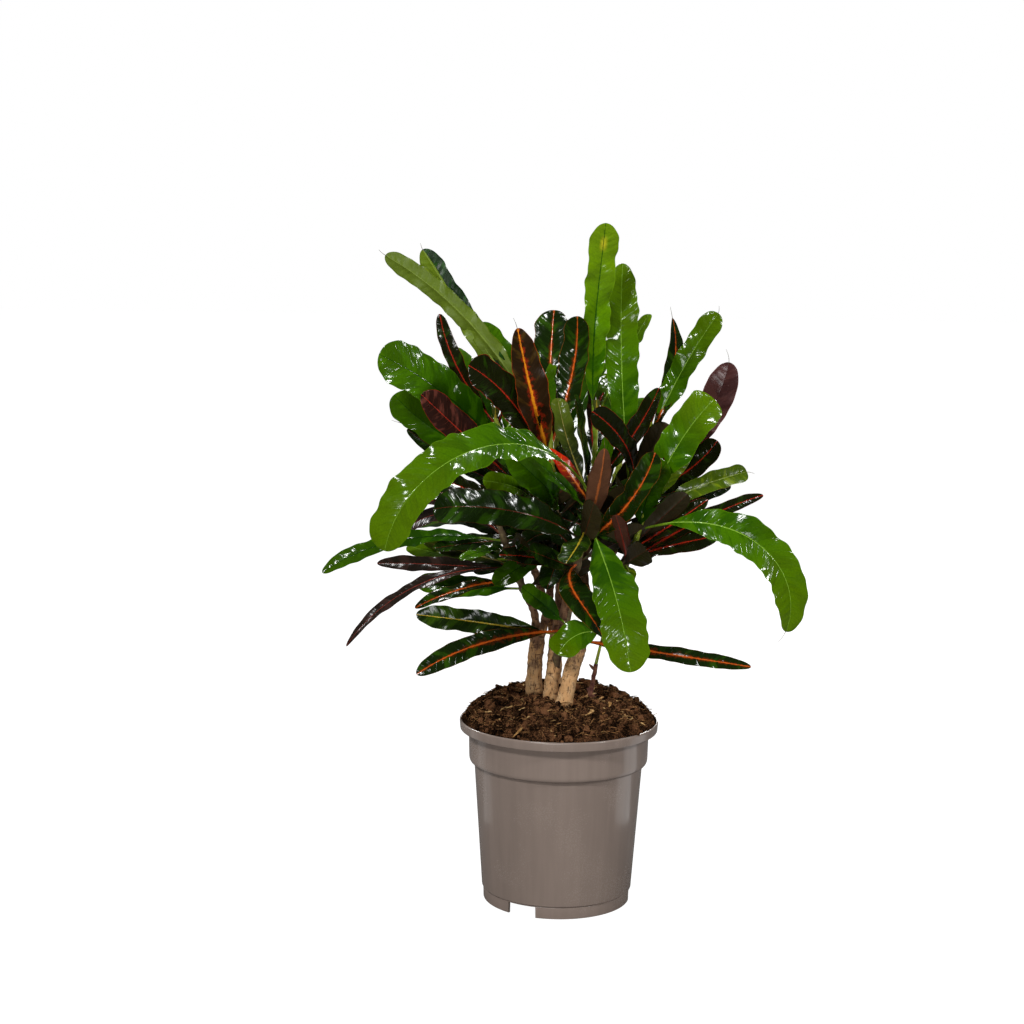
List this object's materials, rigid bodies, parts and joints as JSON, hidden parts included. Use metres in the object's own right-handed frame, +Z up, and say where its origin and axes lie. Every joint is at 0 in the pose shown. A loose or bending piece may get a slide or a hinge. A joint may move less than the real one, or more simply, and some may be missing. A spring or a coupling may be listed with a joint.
{
  "type": "potted croton",
  "caption": "Potted croton: long glossy leaves, bright green, dark with red ribs, bronze and maroon, on woody trunks in peat, in a tapered nursery pot.",
  "frame": {"origin": "on the floor, under the middle of the pot and of the whole plant", "axes": "+Z up, -Y to the front, the side that the picture shows, +X to its right"},
  "size_m": [0.39, 0.39, 0.561],
  "materials": {
    "pot_plastic": "moulded taupe plastic with a soft gloss",
    "peat": "dark brown crumbly peat with fibres and pale chips",
    "bark": "grey-brown bark with leaf scars",
    "leaf_old": "glossy, near black green with orange-red midribs, maroon under",
    "leaf_young": "glossy bright green with pale midribs"
  },
  "bodies": {
    "root": {"pot": "pot_plastic", "soil": "peat", "trunk_left": "bark", "trunk_middle": "bark", "trunk_right": "bark", "trunk_back": "bark", "twig_right": "bark", "shoot_left_low": "leaf_old", "shoot_left_high_old": "leaf_old", "shoot_left_high_young": "leaf_young", "shoot_centre_old": "leaf_old", "shoot_centre_young": "leaf_young", "shoot_centre_back_old": "leaf_old", "shoot_centre_back_young": "leaf_young", "shoot_front_old": "leaf_old", "shoot_front_young": "leaf_young", "shoot_right_front_old": "leaf_old", "shoot_right_front_young": "leaf_young", "shoot_right_back_old": "leaf_old", "shoot_right_back_young": "leaf_young", "shoot_low": "leaf_old", "shoot_twig": "leaf_young", "shoot_back_left_old": "leaf_old", "shoot_back_left_young": "leaf_young", "shoot_back_mid_old": "leaf_old", "shoot_back_mid_young": "leaf_young", "shoot_back_right_old": "leaf_old", "shoot_back_right_young": "leaf_young"}
  },
  "joints": []
}
